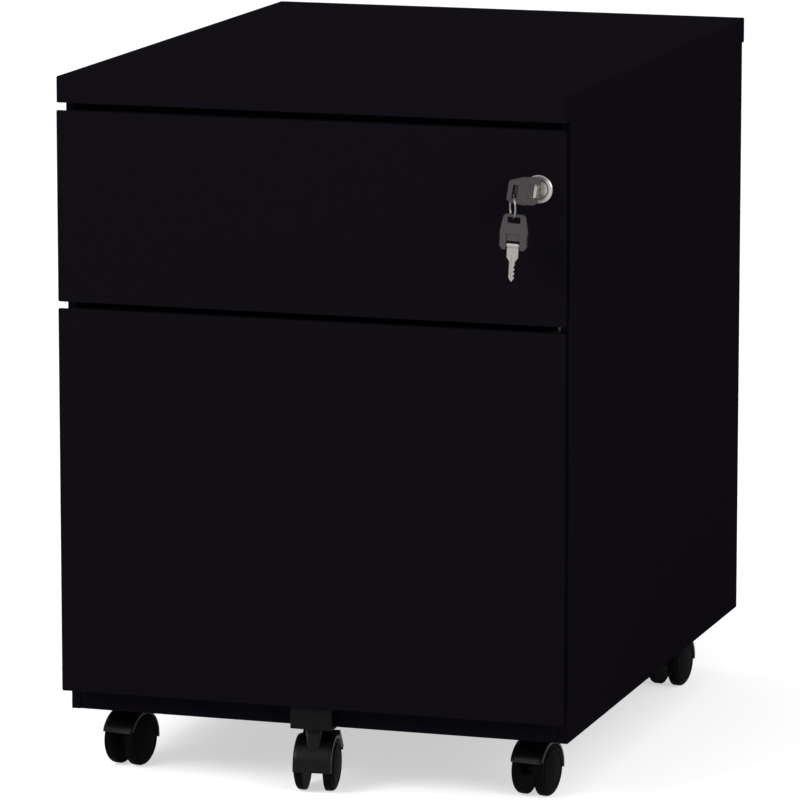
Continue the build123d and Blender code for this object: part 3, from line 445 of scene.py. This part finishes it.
for caster in ("front_left", "front_right", "rear_left", "rear_right"):
    axle = point(f"{caster}_left_roll")
    trail = axle - point(f"{caster}_swivel")
    trail.z = 0
    trail.normalize()
    mouth_up = world_up * math.cos(mouth_rise) - trail * math.sin(mouth_rise)
    lip = copy_of(lip_pattern, f"{caster}_hood_lip")
    settle(lip, trail.cross(world_up), mouth_up, axle)
    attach(lip, f"{caster}_fork")
bpy.data.objects.remove(lip_pattern)

# Wheel rims: a low bead round the outer face of every caster wheel, moulded with it in nylon. It
# sits on the domed face, half sunk into it.
bead_radius = 0.0148
bead_wide = 0.0020
bead_high = 0.0010
bead_points = 12
rim_radius = 0.0170
face_dome = 0.0014
bead_drop = face_dome * (bead_radius / rim_radius) ** 2
bead_pattern = wind_oval(
    "bead_pattern",
    across=bead_wide,
    along=bead_high,
    points=bead_points,
    radius=bead_radius,
    turns=1,
    rise=0,
)
bead_pattern.data.materials.append(wheel_nylon)
for caster in ("front_left", "front_right", "rear_left", "rear_right", "anti_tilt"):
    for side in ("left", "right"):
        axle = point(f"{caster}_{side}_roll")
        outward = way(f"{caster}_{side}_roll")
        wheel = nodes[f"{caster}_caster_{side}_wheel"].data
        reach = [(corner.co - axle).dot(outward) for corner in wheel.vertices]
        if max(reach) < -min(reach):
            outward = -outward
        face_top = max(max(reach), -min(reach))
        bead = copy_of(bead_pattern, f"{caster}_{side}_wheel_bead")
        settle(bead, world_up, outward, axle + outward * (face_top - bead_drop))
        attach(bead, f"{caster}_{side}_wheel")
bpy.data.objects.remove(bead_pattern)

# Floor: plain pale paper that takes the object's shadow. Looked at, and in reflections, it glows
# enough to be white outside that shadow.
floor_size = 16
floor_grey = 0.8
floor_roughness = 0.9
floor_glow = 0.55
white = (1, 1, 1, 1)


def looked_at(tree):
    """One for camera, mirror and glass rays, nothing for the rays that light the object."""
    path = tree.nodes.new("ShaderNodeLightPath")
    seen = path.outputs["Is Camera Ray"]
    for kind in ("Is Glossy Ray", "Is Transmission Ray"):
        either = tree.nodes.new("ShaderNodeMath")
        either.operation = "MAXIMUM"
        tree.links.new(seen, either.inputs[0])
        tree.links.new(path.outputs[kind], either.inputs[1])
        seen = either.outputs["Value"]
    return seen


def level(tree, unseen_level, seen_level):
    """A strength that differs between what lights the object and what is looked at."""
    spread = tree.nodes.new("ShaderNodeMapRange")
    spread.inputs["To Min"].default_value = unseen_level
    spread.inputs["To Max"].default_value = seen_level
    tree.links.new(looked_at(tree), spread.inputs["Value"])
    return spread.outputs["Result"]


bpy.ops.object.select_all(action="DESELECT")
bpy.ops.mesh.primitive_plane_add(size=floor_size, location=(0, 0, 0))
floor = bpy.context.object
floor.name = "studio_floor"
floor_paper = new_finish(
    "floor_paper", colour=(floor_grey,) * 3, roughness=floor_roughness, specular=0
)
paper = shader_of(floor_paper)
paper.inputs["Emission Color"].default_value = white
tree = floor_paper.node_tree
tree.links.new(level(tree, 0, floor_glow), paper.inputs["Emission Strength"])
floor.data.materials.append(floor_paper)

# World: even light from all round the object. It is white where it is looked at, or seen in a
# reflection.
sky_light = 0.6
sky_white = 1.0
world = bpy.data.worlds.new("studio")
bpy.context.scene.world = world
world.use_nodes = True
tree = world.node_tree
background = tree.nodes["Background"]
background.inputs["Color"].default_value = white
tree.links.new(level(tree, sky_light, sky_white), background.inputs["Strength"])

# Lamps: a broad key from the upper left in front, and a weaker fill from the right. Both are aimed
# at the middle of the cabinet.
lamp_aim = Vector((0, 0, 0.3))
for name, spot, size, power in (
    ("key_lamp", (-1.8, -2.6, 2.4), 1.6, 70),
    ("fill_lamp", (2.6, -1.6, 1.6), 1.8, 36),
):
    lamp = bpy.data.lights.new(name, "AREA")
    lamp.energy = power
    lamp.size = size
    holder = bpy.data.objects.new(name, lamp)
    holder.location = spot
    holder.rotation_euler = (lamp_aim - Vector(spot)).to_track_quat("-Z", "Y").to_euler()
    bpy.context.scene.collection.objects.link(holder)

# Camera: a long lens, a little above the lid and to the right, as the photograph was taken. Its
# place is measured from the file front and the lid's top.
view_azimuth = math.radians(17.511)
view_elevation = math.radians(10.24)
focal_length = 268.3
sensor_width = 36
view_limit = 100
eye_right = 1.3564
eye_before_front = 4.0762
eye_over_lid = 0.5448
front_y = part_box("file_front")[0].y
lid_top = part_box("lid")[1].z
back = Vector(
    (
        math.sin(view_azimuth) * math.cos(view_elevation),
        -math.cos(view_azimuth) * math.cos(view_elevation),
        math.sin(view_elevation),
    )
)
right = Vector((math.cos(view_azimuth), math.sin(view_azimuth), 0))
lens = bpy.data.cameras.new("photo_camera")
lens.lens = focal_length
lens.sensor_width = sensor_width
lens.clip_end = view_limit
camera = bpy.data.objects.new("photo_camera", lens)
turn = Matrix((right, back.cross(right), back)).transposed().to_4x4()
eye = Vector((eye_right, front_y - eye_before_front, lid_top + eye_over_lid))
camera.matrix_world = Matrix.Translation(eye) @ turn
bpy.context.scene.collection.objects.link(camera)
bpy.context.scene.camera = camera
bpy.context.scene.view_settings.view_transform = "Standard"
